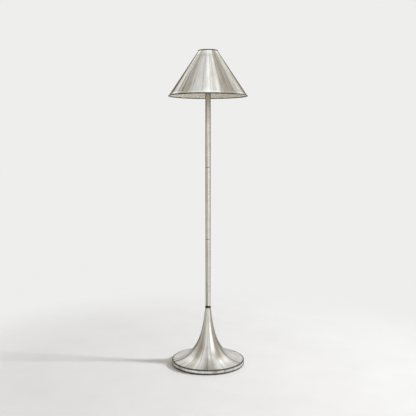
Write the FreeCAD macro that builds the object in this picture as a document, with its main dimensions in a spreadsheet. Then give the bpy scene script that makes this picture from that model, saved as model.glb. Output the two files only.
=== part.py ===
"""A floor lamp: a plain cone shade on a sectional pole with a trumpet-shaped base.

The lamp stands on the XY plane with its axis on Z. Its front faces -Y, its cord inlet is at
the back, and every size is in millimetres.
"""
import FreeCAD
import Part
import Sketcher
import math
import os
from collections import namedtuple
from types import SimpleNamespace

DRIVING_SIZES = (
    # the whole lamp
    ("lamp_height", 1524.0, "floor to the upper edge of the shade"),
    ("shade_dia", 381.0, "shade across its lower edge"),
    ("shade_height", 215.9, "shade from edge to edge"),
    ("shade_top_dia", 95.25, "shade across its upper edge"),
    ("base_dia", 355.6, "base disc and the cover that lies on it"),
    # clearances
    ("fit_gap", 0.05, "between pieces that are fixed to each other"),
    ("free_gap", 0.3, "between pieces that move past each other"),
    ("run_gap", 0.05, "between a shaft and its bearing"),
    # shade
    ("shade_wall", 0.8, "spun sheet of the shade"),
    ("bead_dia", 3.2, "rolled edge of the shade"),
    ("edge_wire_dia", 1.0, "wire rolled into the edge"),
    # pole
    ("pole_dia", 25.4, "outside of the pole tubes"),
    ("pole_wall", 1.2, "wall of the pole tubes"),
    ("pole_reach", 11.0, "top of the pole above the shade's lower edge"),
    ("short_section_by", 16.0, "how much the lower pole section is shorter than the others"),
    ("tube_chamfer", 0.4, "broken edge at each tube end"),
    ("plug_length", 16.0, "threaded plug in each tube end"),
    ("nipple_length", 24.0, "threaded pipe that joins two sections"),
    ("pole_cap_height", 5.0, "turned cap on the pole"),
    ("pole_cap_round", 3.0, "rounded upper edge of the pole cap"),
    # neck
    ("neck_height", 284.0, "floor to the top of the flared cover"),
    ("neck_lip", 0.5, "flared cover beyond the pole at its top"),
    ("collar_lip", 1.5, "ring between cover and pole, beyond the pole"),
    ("collar_height", 4.0, "thickness of that ring"),
    ("collar_round", 1.2, "rounded edges of that ring"),
    # flared cover
    ("cover_wall", 1.6, "spun sheet of the cover"),
    ("neck_slope", 0.102, "how far the flare leaves the vertical at the neck"),
    ("neck_pull", 0.46, "how long the flare stays slim, as a share of its height"),
    ("foot_slope", 0.085, "how far the flare leaves the horizontal at the foot"),
    ("foot_pull", 0.80, "how long the flare stays flat, as a share of its width"),
    ("seam_chamfer", 0.5, "broken edges that leave a line between cover and casting"),
    # casting
    ("pad_height", 2.0, "felt ring under the base"),
    ("pad_width", 26.0, "width of the felt ring"),
    ("pad_inset", 2.0, "felt ring back from the edge of the base"),
    ("rim_wall", 10.0, "thickness of the band"),
    ("foot_round", 1.0, "rounded lower edge of the band"),
    ("web_thickness", 8.0, "flat top of the casting"),
    ("hub_dia", 64.0, "raised middle of the casting"),
    ("hub_rise", 16.0, "middle above the flat top"),
    ("hub_chamfer", 2.0, "broken edge of the raised middle"),
    ("hub_floor", 12.0, "metal above the recess for the nut"),
    ("recess_dia", 44.0, "recess for the nut"),
    # bottom plate and its screws
    ("plate_thickness", 1.5, "sheet that closes the base"),
    ("plate_gap", 0.3, "plate to the inside of the band"),
    ("boss_dia", 12.0, "boss that takes a plate screw"),
    ("boss_inset", 47.8, "inside of the band to the middle of a boss"),
    ("boss_count", 4, "bosses and plate screws"),
    ("screw_dia", 4.0, "plate screw"),
    ("screw_depth", 7.0, "plate screw in its boss"),
    ("screw_head_dia", 8.0, "head of the plate screw"),
    ("screw_head_height", 1.6, "head below the plate"),
    ("screw_slot", 1.0, "width and depth of the slot in a screw head"),
    # threaded pipe and what holds it
    ("pipe_dia", 10.0, "threaded pipe"),
    ("pipe_bore", 7.0, "way for the wires"),
    ("pipe_tail", 3.0, "pipe below its nut"),
    ("washer_dia", 30.0, "washer under the hub"),
    ("washer_thickness", 1.6, "both washers"),
    ("lock_washer_dia", 17.0, "split washer"),
    ("lock_washer_split", 1.5, "its split"),
    ("nut_flats", 16.0, "nut across its flats"),
    ("nut_height", 5.0, "nut"),
    # cord inlet
    ("cord_bore", 6.6, "hole through the bushing"),
    ("bushing_wall", 1.15, "its wall"),
    ("bushing_room", 0.4, "bushing to the plate below it and the web above it"),
    ("bushing_lip", 1.5, "flange outside the base, beyond its hole"),
    ("bushing_flange", 2.0, "its thickness"),
    ("bushing_barb", 0.4, "snap edge inside the base"),
    ("bushing_barb_length", 1.6, "its length"),
    # socket
    ("screw_shell_air", 1.1, "screw shell to the insulating sleeve"),
    ("socket_wall", 0.5, "wall of the socket shell"),
    ("mouth_lip", 4.2, "shell and sleeve beyond the thread that takes the bulb"),
    ("liner_wall", 0.8, "insulating sleeve"),
    ("liner_foot", 12.0, "foot of the socket to the sleeve's lower edge"),
    ("shell_foot", 14.5, "foot of the socket to the shell's lower edge"),
    ("socket_cap_height", 18.0, "cup that holds the shell"),
    ("socket_cap_wall", 0.6, "wall of the cup"),
    ("socket_cap_round", 8.0, "rounded shoulder of the cup"),
    ("cap_boss_dia", 15.0, "threaded middle of the cup"),
    ("cap_boss_height", 9.0, "its height"),
    ("cap_screw_dia", 3.0, "screw that locks the cup on its thread"),
    ("cap_screw_head_dia", 5.0, "head of that screw"),
    ("cap_screw_head", 1.5, "height of that head"),
    ("cap_neck", 6.0, "straight part of the cup below its shoulder"),
    ("interior_lift", 10.0, "foot of the socket to the interior"),
    ("interior_floor", 10.7, "interior below the room for the cam"),
    ("interior_roof", 2.7, "interior above it"),
    ("interior_chamfer", 1.0, "broken edges of the interior"),
    ("interior_gap", 0.15, "interior to the sleeve"),
    # switch
    ("shaft_dia", 4.0, "switch shaft"),
    ("shaft_window_dia", 5.2, "hole for the shaft in shell and sleeve"),
    ("cam_side", 8.0, "square cam"),
    ("cam_length", 9.0, "cam along its shaft"),
    ("cam_room", 0.65, "corners of the cam to the interior"),
    ("cavity_reach", 4.0, "room for the cam past the lamp's axis"),
    ("key_hub_dia", 7.0, "round part of the key"),
    ("key_hub_length", 7.0, "its length"),
    ("key_wing_length", 19.0, "wing of the key along its axis"),
    ("key_width", 16.0, "wing of the key"),
    ("key_thickness", 3.0, "its thickness"),
    ("key_round", 5.0, "its rounded corners"),
    # terminals and contact
    ("notch_width", 9.0, "notch for a terminal screw"),
    ("notch_height", 10.0, "its height"),
    ("notch_depth", 4.0, "its depth"),
    ("terminal_dia", 3.4, "terminal screw"),
    ("terminal_depth", 4.4, "terminal screw in the interior"),
    ("terminal_head_dia", 6.6, "its head"),
    ("terminal_head", 2.2, "height of its head"),
    ("contact_thickness", 0.5, "spring leaf in the middle of the socket"),
    ("contact_width", 5.0, "its width"),
    ("contact_rise", 3.5, "its height"),
    ("contact_foot", 7.5, "lamp's axis to its fixed end"),
    ("contact_tip", 3.0, "lamp's axis to its free end"),
    # rolled threads
    ("thread_pitch", 3.63, "bulb thread"),
    ("thread_depth", 0.8, "its depth"),
    ("thread_sheet", 0.4, "sheet that the thread is rolled in"),
    ("shell_turns", 7, "turns in the socket"),
    ("bulb_turns", 5, "turns on the bulb"),
    ("outer_turns", 3, "turns outside the socket"),
    ("shell_flange", 4.9, "floor of the screw shell, inward from its outside"),
    # shade fitter
    ("shoulder_drop", 16.0, "mouth of the socket to the bead that carries the shade"),
    ("shoulder_lip", 3.0, "that bead beyond the shell"),
    ("shoulder_height", 3.0, "its height"),
    ("fitter_width", 9.0, "width of the flat ring on the bead"),
    ("fitter_thickness", 2.0, "its thickness"),
    ("lock_ring_wall", 3.7, "screwed ring above it"),
    ("lock_ring_height", 6.0, "its height"),
    ("knurl_count", 24, "grooves round the screwed ring"),
    ("knurl_depth", 0.7, "their depth"),
    ("knurl_width", 1.6, "their width"),
    ("arm_count", 3, "arms from ring to shade"),
    ("arm_width", 10.0, "width of an arm"),
    ("arm_thickness", 1.6, "its thickness"),
    ("arm_lap", 4.6, "arm on the flat ring"),
    ("arm_straight", 13.0, "arm beyond the flat ring, to its bend"),
    ("tab_foot", 150.0, "along the shade from its lower edge to the arm's tab"),
    ("tab_length", 16.0, "tab against the shade"),
    ("tab_gap", 0.15, "tab to the shade"),
    # bulb
    ("bulb_thread_dia", 26.0, "bulb thread over its crests"),
    ("bulb_dia", 60.0, "glass at its widest"),
    ("bulb_length", 110.0, "tip contact to the top of the glass"),
    ("bulb_cap_skirt", 3.25, "plain edge of the screw cap above its thread"),
    ("bulb_cap_foot", 1.6, "plain foot of the screw cap below its thread"),
    ("bulb_cap_wall", 0.4, "sheet of the screw cap below the thread's valleys"),
    ("bulb_cap_floor", 1.2, "floor of the screw cap round the black glass"),
    ("bulb_wall", 0.8, "glass"),
    ("bulb_neck_depth", 9.0, "glass inside the screw cap"),
    ("tip_dia", 9.2, "tip contact"),
    ("tip_dome", 1.2, "its domed part"),
    ("tip_height", 1.6, "its height"),
    ("insulator_inset", 1.4, "black glass back from the inside of the cap"),
    ("insulator_cone", 2.4, "its sloping part"),
    ("insulator_height", 3.4, "its height"),
    ("stem_dia", 8.0, "glass stem"),
    ("stem_rise", 58.0, "tip contact to the top of the stem"),
    ("lead_dia", 0.8, "wires that carry the filament"),
    ("lead_foot", 2.0, "wire off the lamp's axis at the stem"),
    ("filament_half", 9.0, "half the length of the filament"),
)

BACK_ANGLE = 90                 # one fitter arm points to the back, away from the view
DIAGONAL = math.sqrt(0.5)       # the bosses stand between the axes, clear of the cord
HEX_CORNERS = [math.radians(60 * corner) for corner in range(6)]
UPPER_BEND_SHARE = 0.37         # how far an arm's inner corner lies back, in thicknesses
LOWER_BEND_SHARE = 0.88         # the same at the tab, where the arm turns further
GLASS_NECK_PULL = 0.54          # how long the bulb stays slim, in radii
GLASS_BELLY_PULL = 0.75         # how long it stays wide, in radii

LEFT = 1
RIGHT = -1
Arc = namedtuple("Arc", "centre turn")
Curve = namedtuple("Curve", "first_pole second_pole")


class Size:
    """A size that knows its number and the sheet formula behind it."""

    def __init__(self, value, text):
        self.value = float(value)
        self.text = text

    def __add__(self, other):
        other = as_size(other)
        return Size(self.value + other.value, f"({self.text} + {other.text})")

    def __sub__(self, other):
        other = as_size(other)
        return Size(self.value - other.value, f"({self.text} - {other.text})")

    def __mul__(self, other):
        other = as_size(other)
        return Size(self.value * other.value, f"({self.text} * {other.text})")

    def __truediv__(self, other):
        other = as_size(other)
        return Size(self.value / other.value, f"({self.text} / {other.text})")

    def __neg__(self):
        return Size(-self.value, f"(0 - {self.text})")

    def root(self):
        return Size(math.sqrt(self.value), f"sqrt({self.text})")


def as_size(amount):
    """A plain number becomes a size whose formula is that number."""
    return amount if isinstance(amount, Size) else Size(amount, repr(amount))


ZERO = as_size(0)

os.makedirs("parts", exist_ok=True)
doc = FreeCAD.newDocument("floor_lamp")
size_sheet = doc.addObject("Spreadsheet::Sheet", "Sizes")
place_sheet = doc.addObject("Spreadsheet::Sheet", "Places")
size = SimpleNamespace()
place = SimpleNamespace()
pieces = []

for row, (alias, number, meaning) in enumerate(DRIVING_SIZES, start=1):
    size_sheet.set(f"A{row}", meaning)
    size_sheet.set(f"B{row}", str(number))
    size_sheet.setAlias(f"B{row}", alias)
    setattr(size, alias, Size(number, f"Sizes.{alias}"))


def derive(alias, formula):
    """Gives a worked-out size a cell and a name of its own."""
    row = len(vars(place)) + 1
    place_sheet.set(f"A{row}", alias.replace("_", " "))
    place_sheet.set(f"B{row}", f"={formula.text}")
    place_sheet.setAlias(f"B{row}", alias)
    setattr(place, alias, Size(formula.value, f"Places.{alias}"))


# ---------------------------------------------------------------- sketches and features

def new_body(label):
    body = doc.addObject("PartDesign::Body", label)
    body.Label = label
    pieces.append(body)
    return body


def origin_feature(body, role):
    return next(item for item in body.Origin.OriginFeatures if item.Role == role)


def new_sketch(body, role, offset=ZERO):
    """A sketch on one of the body's origin planes, moved along that plane's normal."""
    sketch = body.newObject("Sketcher::SketchObject", f"{body.Label}_sketch")
    sketch.AttachmentSupport = [(origin_feature(body, role), "")]
    sketch.MapMode = "FlatFace"
    sketch.setExpression("AttachmentOffset.Base.z", offset.text)
    return sketch


def vector(point):
    across, up = map(as_size, point)
    return FreeCAD.Vector(across.value, up.value, 0)


def tie(sketch, edge, end, point):
    """Holds one point of an edge at its place, measured from the sketch's origin."""
    across, up = map(as_size, point)
    tie_one(sketch, edge, end, "DistanceX", across)
    tie_one(sketch, edge, end, "DistanceY", up)


def tie_one(sketch, edge, end, direction, distance):
    if distance.value == 0:
        axis = -2 if direction == "DistanceX" else -1
        sketch.addConstraint(Sketcher.Constraint("PointOnObject", edge, end, axis))
        return
    rule = Sketcher.Constraint(direction, -1, 1, edge, end, distance.value)
    number = sketch.addConstraint(rule)
    sketch.setExpression(f"Constraints[{number}]", distance.text)


def edge_shape(start, end, bend):
    """A line, an arc about a centre, or a cubic curve, with the numbers of its two ends."""
    if bend is None:
        return Part.LineSegment(vector(start), vector(end)), (1, 2)
    if isinstance(bend, Curve):
        poles = [vector(start), vector(bend.first_pole), vector(bend.second_pole), vector(end)]
        curve = Part.BSplineCurve()
        curve.buildFromPolesMultsKnots(poles, [4, 4], [0, 1], False, 3)
        return curve, (1, 2)
    centre = vector(bend.centre)
    first, last = (start, end) if bend.turn == LEFT else (end, start)
    spokes = [vector(first) - centre, vector(last) - centre]
    angles = [math.atan2(spoke.y, spoke.x) for spoke in spokes]
    if angles[1] <= angles[0]:
        angles[1] += 2 * math.pi
    circle = Part.Circle(centre, FreeCAD.Vector(0, 0, 1), spokes[0].Length)
    return Part.ArcOfCircle(circle, *angles), (1, 2) if bend.turn == LEFT else (2, 1)


def draw(sketch, outline):
    """Draws a closed outline of corners, with an Arc or a Curve after a corner that starts one."""
    corners = []
    bends = []
    for item in outline:
        if isinstance(item, (Arc, Curve)):
            bends[-1] = item
        else:
            corners.append(item)
            bends.append(None)
    following = corners[1:] + corners[:1]
    edges = []
    for start, end, bend in zip(corners, following, bends):
        shape, ends = edge_shape(start, end, bend)
        edges.append((sketch.addGeometry(shape, False), ends))
    for (edge, ends), (next_edge, next_ends) in zip(edges, edges[1:] + edges[:1]):
        sketch.addConstraint(Sketcher.Constraint("Coincident", edge, ends[1], next_edge, next_ends[0]))
    for (edge, ends), start, end, bend in zip(edges, corners, following, bends):
        tie(sketch, edge, ends[0], start)
        if isinstance(bend, Arc):
            tie_centre(sketch, edge, bend.centre, vector(end) - vector(start))
        if isinstance(bend, Curve):
            first_circle = len(sketch.Geometry)
            sketch.exposeInternalGeometry(edge)
            tie(sketch, first_circle + 1, 3, bend.first_pole)
            tie(sketch, first_circle + 2, 3, bend.second_pole)


def tie_centre(sketch, edge, centre, chord):
    """An arc between two held ends needs one more size: its centre, square to the chord."""
    across, up = map(as_size, centre)
    if abs(chord.y) > abs(chord.x):
        tie_one(sketch, edge, 3, "DistanceX", across)
    else:
        tie_one(sketch, edge, 3, "DistanceY", up)


def draw_circle(sketch, centre, radius):
    circle = Part.Circle(vector(centre), FreeCAD.Vector(0, 0, 1), radius.value)
    edge = sketch.addGeometry(circle, False)
    tie(sketch, edge, 3, centre)
    number = sketch.addConstraint(Sketcher.Constraint("Radius", edge, radius.value))
    sketch.setExpression(f"Constraints[{number}]", radius.text)


def rectangle(low_across, low_up, high_across, high_up):
    return [(low_across, low_up), (high_across, low_up), (high_across, high_up), (low_across, high_up)]


def spin(body, sketch, axis="V_Axis"):
    feature = body.newObject("PartDesign::Revolution", f"{body.Label}_spin")
    feature.Profile = sketch
    feature.ReferenceAxis = (sketch, [axis])
    feature.Angle = 360
    return feature


def turned(label, outline, role="XZ_Plane", axis="V_Axis"):
    """A piece made on a lathe: its outline, spun about an axis of its sketch."""
    body = new_body(label)
    sketch = new_sketch(body, role)
    draw(sketch, outline)
    spin(body, sketch, axis)
    return body


def wire_ring(label, centre, diameter):
    body = new_body(label)
    sketch = new_sketch(body, "XZ_Plane")
    draw_circle(sketch, centre, diameter / 2)
    spin(body, sketch)
    return body


def pad(body, sketch, length, both_ways=False):
    feature = body.newObject("PartDesign::Pad", f"{body.Label}_pad")
    feature.Profile = sketch
    feature.SideType = "Symmetric" if both_ways else "One side"
    feature.setExpression("Length", length.text)
    return feature


def pocket(body, sketch, depth, along_normal=False):
    feature = body.newObject("PartDesign::Pocket", f"{body.Label}_pocket")
    feature.Profile = sketch
    feature.Reversed = along_normal
    feature.setExpression("Length", depth.text)
    return feature


def drill(body, role, centre, diameter, depth, offset=ZERO, along_normal=False):
    """A round hole square to an origin plane, cut against that plane's normal or along it."""
    sketch = new_sketch(body, role, offset)
    draw_circle(sketch, centre, diameter / 2)
    return pocket(body, sketch, depth, along_normal)


def repeat_round(body, features, count):
    """Repeats features evenly about the body's vertical axis."""
    pattern = body.newObject("PartDesign::PolarPattern", f"{body.Label}_pattern")
    pattern.Originals = features
    pattern.Axis = (origin_feature(body, "Z_Axis"), [""])
    pattern.Angle = 360
    pattern.setExpression("Occurrences", count.text)
    body.Tip = pattern


def raise_to(body, height):
    body.setExpression("Placement.Base.z", height.text)


def rolled_thread(radius, foot, turns, upward=True):
    """Corners and arcs of a rolled thread, drawn as rings that swell and shrink by turns."""
    half_pitch = size.thread_pitch / 2
    steps = range(2 * turns)
    items = []
    for step in steps if upward else reversed(steps):
        swell = 1 if step % 2 == 0 else -1
        middle = foot + half_pitch * (step + 0.5)
        start = foot + half_pitch * (step if upward else step + 1)
        items.append((radius, start))
        items.append(Arc((radius - place.thread_offset * swell, middle), swell if upward else -swell))
    items.append((radius, foot + half_pitch * (2 * turns) if upward else foot))
    return items


# ---------------------------------------------------------------- places worked out from the sizes

derive("base_radius", size.base_dia / 2)
derive("pole_radius", size.pole_dia / 2)
derive("neck_radius", place.pole_radius + size.neck_lip)
derive("collar_radius", place.pole_radius + size.collar_lip)
derive("tube_bore", place.pole_radius - size.pole_wall)
derive("pipe_radius", size.pipe_dia / 2)
derive("pipe_way", size.pipe_bore / 2)
derive("thread_hole", place.pipe_radius + size.fit_gap)
derive("pipe_hole", place.pipe_radius + size.free_gap)
derive("plate_top", size.pad_height + size.plate_thickness)
derive("barrel_radius", size.cord_bore / 2 + size.bushing_wall)
derive("barb_radius", place.barrel_radius + size.bushing_barb)
derive("inlet_height", place.plate_top + size.bushing_room + place.barb_radius)
derive("web_foot", place.inlet_height + place.barb_radius + size.bushing_room)
derive("seam_height", place.web_foot + size.web_thickness)
derive("rim_inside", place.base_radius - size.rim_wall)
derive("hub_top", place.seam_height + size.hub_rise)
derive("recess_top", place.hub_top - size.hub_floor)
derive("lock_washer_top", place.recess_top - size.washer_thickness)
derive("nut_top", place.lock_washer_top - size.washer_thickness)
derive("nut_foot", place.nut_top - size.nut_height)
derive("boss_offset", (place.rim_inside - size.boss_inset) * DIAGONAL)

derive("collar_top", size.neck_height + size.collar_height)
derive("shade_foot", size.lamp_height - size.shade_height)
derive("pole_top", place.shade_foot + size.pole_reach)
derive("section_length", (place.pole_top - place.collar_top + size.short_section_by) / 3)
derive("lower_joint", place.collar_top + place.section_length - size.short_section_by)
derive("upper_joint", place.lower_joint + place.section_length)

derive("socket_foot", place.pole_top + size.pole_cap_height)
derive("thread_bulge", size.thread_depth / 2)
derive("thread_chord", size.thread_pitch / 4)
derive("thread_offset", (place.thread_chord * place.thread_chord - place.thread_bulge * place.thread_bulge)
       / (place.thread_bulge * 2))
derive("bulb_thread", size.bulb_thread_dia / 2 - place.thread_bulge)
derive("screw_shell_thread", size.bulb_thread_dia / 2 + size.free_gap + place.thread_bulge)
derive("screw_shell_crest", place.screw_shell_thread + place.thread_bulge + size.thread_sheet)
derive("liner_inside", place.screw_shell_crest + size.screw_shell_air)
derive("liner_outside", place.liner_inside + size.liner_wall)
derive("shell_inside", place.liner_outside + size.fit_gap)
derive("shell_radius", place.shell_inside + size.socket_wall)
derive("outer_thread", place.shell_radius + place.thread_bulge)
derive("outer_crest", place.outer_thread + place.thread_bulge)
derive("cup_inside", place.shell_radius + size.free_gap)
derive("cup_outside", place.cup_inside + size.socket_cap_wall)

derive("cavity_radius", size.cam_side * DIAGONAL + size.cam_room)
derive("interior_radius", place.liner_inside - size.interior_gap)
derive("interior_foot", place.socket_foot + size.interior_lift)
derive("key_height", place.interior_foot + size.interior_floor + place.cavity_radius)
derive("interior_top", place.key_height + place.cavity_radius + size.interior_roof)
derive("screw_shell_top", place.interior_top + size.thread_sheet + size.thread_pitch * size.shell_turns)
derive("socket_mouth", place.screw_shell_top + size.mouth_lip)
derive("shoulder_top", place.socket_mouth - size.shoulder_drop)

derive("fitter_foot", place.shoulder_top + size.free_gap)
derive("fitter_top", place.fitter_foot + size.fitter_thickness)
derive("fitter_inside", place.outer_crest + size.free_gap)
derive("fitter_radius", place.fitter_inside + size.fitter_width)
derive("lock_ring_foot", place.fitter_top + size.free_gap)

derive("bead_radius", size.bead_dia / 2)
derive("bead_hollow", place.bead_radius - size.shade_wall)
derive("lower_bead_across", size.shade_dia / 2 - place.bead_radius)
derive("lower_bead_up", place.shade_foot + place.bead_radius)
derive("upper_bead_across", size.shade_top_dia / 2 - place.bead_radius)
derive("upper_bead_up", size.lamp_height - place.bead_radius)
derive("shade_run", place.upper_bead_across - place.lower_bead_across)
derive("shade_rise", place.upper_bead_up - place.lower_bead_up)
derive("shade_slant", (place.shade_run * place.shade_run + place.shade_rise * place.shade_rise).root())
derive("along_across", place.shade_run / place.shade_slant)
derive("along_up", place.shade_rise / place.shade_slant)

derive("contact_top", place.interior_top + size.contact_rise)
derive("tip_foot", place.contact_top + size.free_gap)
derive("bulb_middle", place.tip_foot + size.bulb_length - size.bulb_dia / 2)
derive("cap_foot", place.tip_foot + size.tip_height + size.insulator_cone)
derive("bulb_thread_foot", place.cap_foot + size.bulb_cap_foot)
derive("cap_top", place.bulb_thread_foot + size.thread_pitch * size.bulb_turns + size.bulb_cap_skirt)
derive("cap_bore", place.bulb_thread - place.thread_bulge - size.bulb_cap_wall)
derive("insulator_radius", place.cap_bore - size.insulator_inset)
derive("glass_foot", place.cap_top - size.bulb_neck_depth)
derive("glass_neck", place.cap_bore - size.fit_gap)
derive("stem_top", place.tip_foot + size.stem_rise)


# ---------------------------------------------------------------- base

def felt_ring():
    outside = place.base_radius - size.pad_inset
    turned("felt_ring", rectangle(outside - size.pad_width, ZERO, outside, size.pad_height))


def base_casting():
    """Heavy disc: an upright band, a flat web, a raised hub and four bosses underneath."""
    hub_radius = size.hub_dia / 2
    body = turned("base_casting", [
        (place.pipe_hole, place.recess_top),
        (size.recess_dia / 2, place.recess_top),
        (size.recess_dia / 2, place.web_foot),
        (place.rim_inside, place.web_foot),
        (place.rim_inside, size.pad_height),
        (place.base_radius - size.foot_round, size.pad_height),
        Arc((place.base_radius - size.foot_round, size.pad_height + size.foot_round), LEFT),
        (place.base_radius, size.pad_height + size.foot_round),
        (place.base_radius, place.seam_height - size.seam_chamfer),
        (place.base_radius - size.seam_chamfer, place.seam_height),
        (hub_radius, place.seam_height),
        (hub_radius, place.hub_top - size.hub_chamfer),
        (hub_radius - size.hub_chamfer, place.hub_top),
        (place.pipe_hole, place.hub_top),
    ])
    middle = (place.boss_offset, place.boss_offset)
    sketch = new_sketch(body, "XY_Plane", place.plate_top)
    draw_circle(sketch, middle, size.boss_dia / 2)
    boss = pad(body, sketch, place.web_foot - place.plate_top)
    hole = drill(body, "XY_Plane", middle, size.screw_dia + size.fit_gap * 2,
                 size.screw_depth + size.free_gap, place.plate_top, along_normal=True)
    repeat_round(body, [boss, hole], size.boss_count)
    inlet_dia = (place.barrel_radius + size.fit_gap) * 2
    drill(body, "XZ_Plane", (ZERO, place.inlet_height), inlet_dia, size.base_dia)


def bottom_plate():
    radius = place.rim_inside - size.plate_gap
    body = turned("bottom_plate", rectangle(ZERO, size.pad_height, radius, place.plate_top))
    hole = drill(body, "XY_Plane", (place.boss_offset, place.boss_offset),
                 size.screw_dia + size.free_gap * 2, place.plate_top, place.plate_top)
    repeat_round(body, [hole], size.boss_count)


def plate_screws():
    """Four slotted screws, drawn once and repeated on the circle of the bosses."""
    body = new_body("plate_screws")
    middle = (place.boss_offset, place.boss_offset)
    head_foot = size.pad_height - size.screw_head_height
    head_sketch = new_sketch(body, "XY_Plane", head_foot)
    draw_circle(head_sketch, middle, size.screw_head_dia / 2)
    head = pad(body, head_sketch, size.screw_head_height)
    shank_sketch = new_sketch(body, "XY_Plane", size.pad_height)
    draw_circle(shank_sketch, middle, size.screw_dia / 2)
    shank = pad(body, shank_sketch, size.plate_thickness + size.screw_depth)
    slot_sketch = new_sketch(body, "XY_Plane", head_foot)
    draw(slot_sketch, rectangle(
        place.boss_offset - size.screw_head_dia, place.boss_offset - size.screw_slot / 2,
        place.boss_offset + size.screw_head_dia, place.boss_offset + size.screw_slot / 2))
    slot = pocket(body, slot_sketch, size.screw_slot, along_normal=True)
    repeat_round(body, [head, shank, slot], size.boss_count)


def cord_bushing():
    """Snap-in bushing in the back of the band; its axis lies along +Y."""
    bore = size.cord_bore / 2
    barrel = place.barrel_radius
    flange = barrel + size.fit_gap + size.bushing_lip
    flange_foot = place.base_radius + size.fit_gap
    barb_end = place.rim_inside - size.free_gap
    barb_start = barb_end - size.bushing_barb_length
    body = turned("cord_bushing", [
        (bore, barb_start),
        (barrel, barb_start),
        (place.barb_radius, barb_end),
        (barrel, barb_end),
        (barrel, flange_foot),
        (flange, flange_foot),
        (flange, flange_foot + size.bushing_flange / 2),
        (flange - size.bushing_flange / 2, flange_foot + size.bushing_flange),
        (bore, flange_foot + size.bushing_flange),
    ], role="XY_Plane")
    raise_to(body, place.inlet_height)


def flared_cover():
    """Spun trumpet: slim at the neck, nearly flat at the foot, with a hole for the pipe."""
    lip = size.cover_wall - size.seam_chamfer
    foot_radius = place.base_radius - lip
    flare_foot = place.seam_height + size.cover_wall
    neck_handle = (size.neck_height - flare_foot) * size.neck_pull
    foot_handle = (foot_radius - place.neck_radius) * size.foot_pull
    neck_pole = (place.neck_radius + neck_handle * size.neck_slope, size.neck_height - neck_handle)
    foot_pole = (foot_radius - foot_handle, flare_foot + foot_handle * size.foot_slope)
    turned("flared_cover", [
        (place.pipe_hole, size.neck_height - size.cover_wall),
        (place.neck_radius - size.cover_wall, size.neck_height - size.cover_wall),
        Curve((neck_pole[0] - size.cover_wall, neck_pole[1]),
              (foot_pole[0] - size.cover_wall, foot_pole[1] - size.cover_wall)),
        (foot_radius, place.seam_height),
        (place.base_radius - size.seam_chamfer, place.seam_height),
        (place.base_radius, place.seam_height + size.seam_chamfer),
        Arc((foot_radius, place.seam_height + size.seam_chamfer), LEFT),
        (foot_radius, flare_foot),
        Curve(foot_pole, neck_pole),
        (place.neck_radius, size.neck_height),
        (place.pipe_hole, size.neck_height),
    ])


def pipe(label, foot, top):
    """A length of threaded pipe that holds pieces together and lets the wires through."""
    turned(label, rectangle(place.pipe_way, foot, place.pipe_radius, top))


def hub_fasteners():
    """The tie rod and what it pulls against under the hub."""
    pipe("tie_rod", place.nut_foot - size.pipe_tail, place.collar_top + size.nipple_length / 2)
    turned("hub_washer", rectangle(
        place.thread_hole, place.lock_washer_top, size.washer_dia / 2, place.recess_top))
    split_washer = turned("lock_washer", rectangle(
        place.thread_hole, place.nut_top, size.lock_washer_dia / 2, place.lock_washer_top))
    split_sketch = new_sketch(split_washer, "XY_Plane", place.nut_top)
    draw(split_sketch, rectangle(
        ZERO, -size.lock_washer_split / 2, size.lock_washer_dia, size.lock_washer_split / 2))
    pocket(split_washer, split_sketch, size.washer_thickness, along_normal=True)
    nut = new_body("hub_nut")
    sketch = new_sketch(nut, "XY_Plane", place.nut_foot)
    corner_radius = size.nut_flats / math.sqrt(3)
    draw(sketch, [hex_corner(corner_radius, angle) for angle in HEX_CORNERS])
    draw_circle(sketch, (ZERO, ZERO), place.thread_hole)
    pad(nut, sketch, size.nut_height)


def hex_corner(radius, angle):
    across = radius * round(math.cos(angle), 9)
    up = radius * round(math.sin(angle), 9)
    return across, up


def neck_collar():
    edge = place.collar_radius - size.collar_round
    turned("neck_collar", [
        (place.pipe_hole, size.neck_height),
        (edge, size.neck_height),
        Arc((edge, size.neck_height + size.collar_round), LEFT),
        (place.collar_radius, size.neck_height + size.collar_round),
        (place.collar_radius, place.collar_top - size.collar_round),
        Arc((edge, place.collar_top - size.collar_round), LEFT),
        (edge, place.collar_top),
        (place.pipe_hole, place.collar_top),
    ])


# ---------------------------------------------------------------- pole

def pole_section(name, foot, top):
    """One tube with a threaded plug in each end."""
    turned(f"pole_{name}", [
        (place.tube_bore, foot),
        (place.pole_radius - size.tube_chamfer, foot),
        (place.pole_radius, foot + size.tube_chamfer),
        (place.pole_radius, top - size.tube_chamfer),
        (place.pole_radius - size.tube_chamfer, top),
        (place.tube_bore, top),
    ])
    plug_radius = place.tube_bore - size.fit_gap
    turned(f"{name}_foot_plug", rectangle(
        place.thread_hole, foot, plug_radius, foot + size.plug_length))
    turned(f"{name}_head_plug", rectangle(
        place.thread_hole, top - size.plug_length, plug_radius, top))


def pole():
    pole_section("lower", place.collar_top, place.lower_joint)
    pole_section("middle", place.lower_joint, place.upper_joint)
    pole_section("upper", place.upper_joint, place.pole_top)
    for name, joint in (("lower", place.lower_joint), ("upper", place.upper_joint)):
        pipe(f"{name}_joint_nipple", joint - size.nipple_length / 2, joint + size.nipple_length / 2)


def pole_cap():
    edge = place.pole_radius - size.pole_cap_round
    turned("pole_cap", [
        (place.pipe_hole, place.pole_top),
        (place.pole_radius, place.pole_top),
        (place.pole_radius, place.socket_foot - size.pole_cap_round),
        Arc((edge, place.socket_foot - size.pole_cap_round), LEFT),
        (edge, place.socket_foot),
        (place.pipe_hole, place.socket_foot),
    ])


# ---------------------------------------------------------------- socket

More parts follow.
